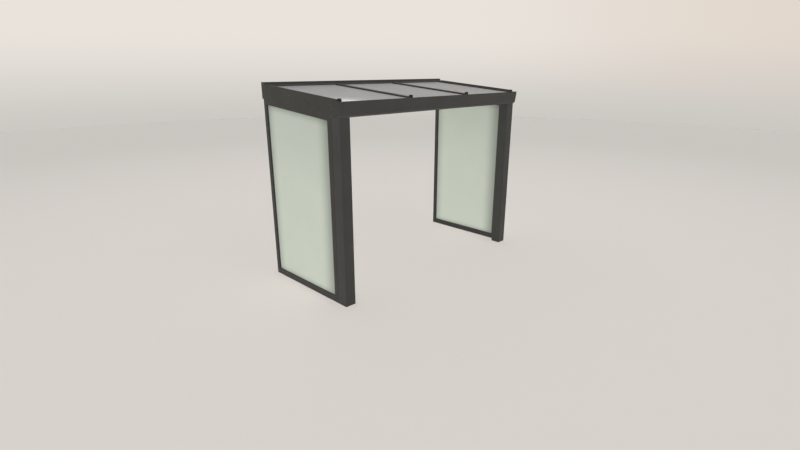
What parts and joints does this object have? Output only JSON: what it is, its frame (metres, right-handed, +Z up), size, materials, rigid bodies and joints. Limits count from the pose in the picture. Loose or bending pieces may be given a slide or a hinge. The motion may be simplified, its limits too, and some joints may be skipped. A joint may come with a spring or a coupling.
{
  "type": "lean-to patio roof",
  "caption": "Aluminium lean-to patio roof: front posts and gutter beam, sloping glazed roof, wall profile and frosted glass side screens.",
  "frame": {"origin": "on the ground, under the middle of the whole roof", "axes": "+Z up, -Y the open front with the gutter, +Y the house wall, X along the gutter"},
  "size_m": [3.45, 1.636, 2.6298],
  "materials": {
    "frame_coating": "fine textured anthracite powder coat",
    "end_caps": "dark powder coat",
    "galvanised_foot": "galvanised",
    "rubber_seal": "matt",
    "roof_pane": "milky grey laminated glass",
    "frosted_pane": "frosted pale green glass"
  },
  "bodies": {
    "root": {"post_left": "frame_coating", "post_right": "frame_coating", "post_foot_left": "galvanised_foot", "post_foot_right": "galvanised_foot", "gutter_beam": "frame_coating", "gutter_fascia": "frame_coating", "gutter_back_wall": "frame_coating", "gutter_cap_left": "end_caps", "gutter_cap_right": "end_caps", "wall_profile": "frame_coating", "wall_cover": "frame_coating", "wall_profile_cap_left": "end_caps", "wall_profile_cap_right": "end_caps", "rafter_1": "frame_coating", "rafter_2": "frame_coating", "rafter_3": "frame_coating", "rafter_4": "frame_coating", "cover_bar_1": "frame_coating", "cover_bar_2": "frame_coating", "cover_bar_3": "frame_coating", "cover_bar_4": "frame_coating", "rafter_cap_1": "end_caps", "rafter_cap_2": "end_caps", "rafter_cap_3": "end_caps", "rafter_cap_4": "end_caps", "roof_glass_1": "roof_pane", "roof_glass_2": "roof_pane", "roof_glass_3": "roof_pane", "edge_trim_left": "frame_coating", "edge_trim_right": "frame_coating", "front_stile_left": "frame_coating", "front_stile_right": "frame_coating", "rear_stile_left": "frame_coating", "rear_stile_right": "frame_coating", "bottom_rail_left": "frame_coating", "bottom_rail_right": "frame_coating", "top_rail_left": "frame_coating", "top_rail_right": "frame_coating", "side_glass_left": "frosted_pane", "side_glass_right": "frosted_pane", "roof_seals": "rubber_seal", "eaves_infill": "frame_coating", "wall_seal_strip": "rubber_seal"}
  },
  "joints": []
}
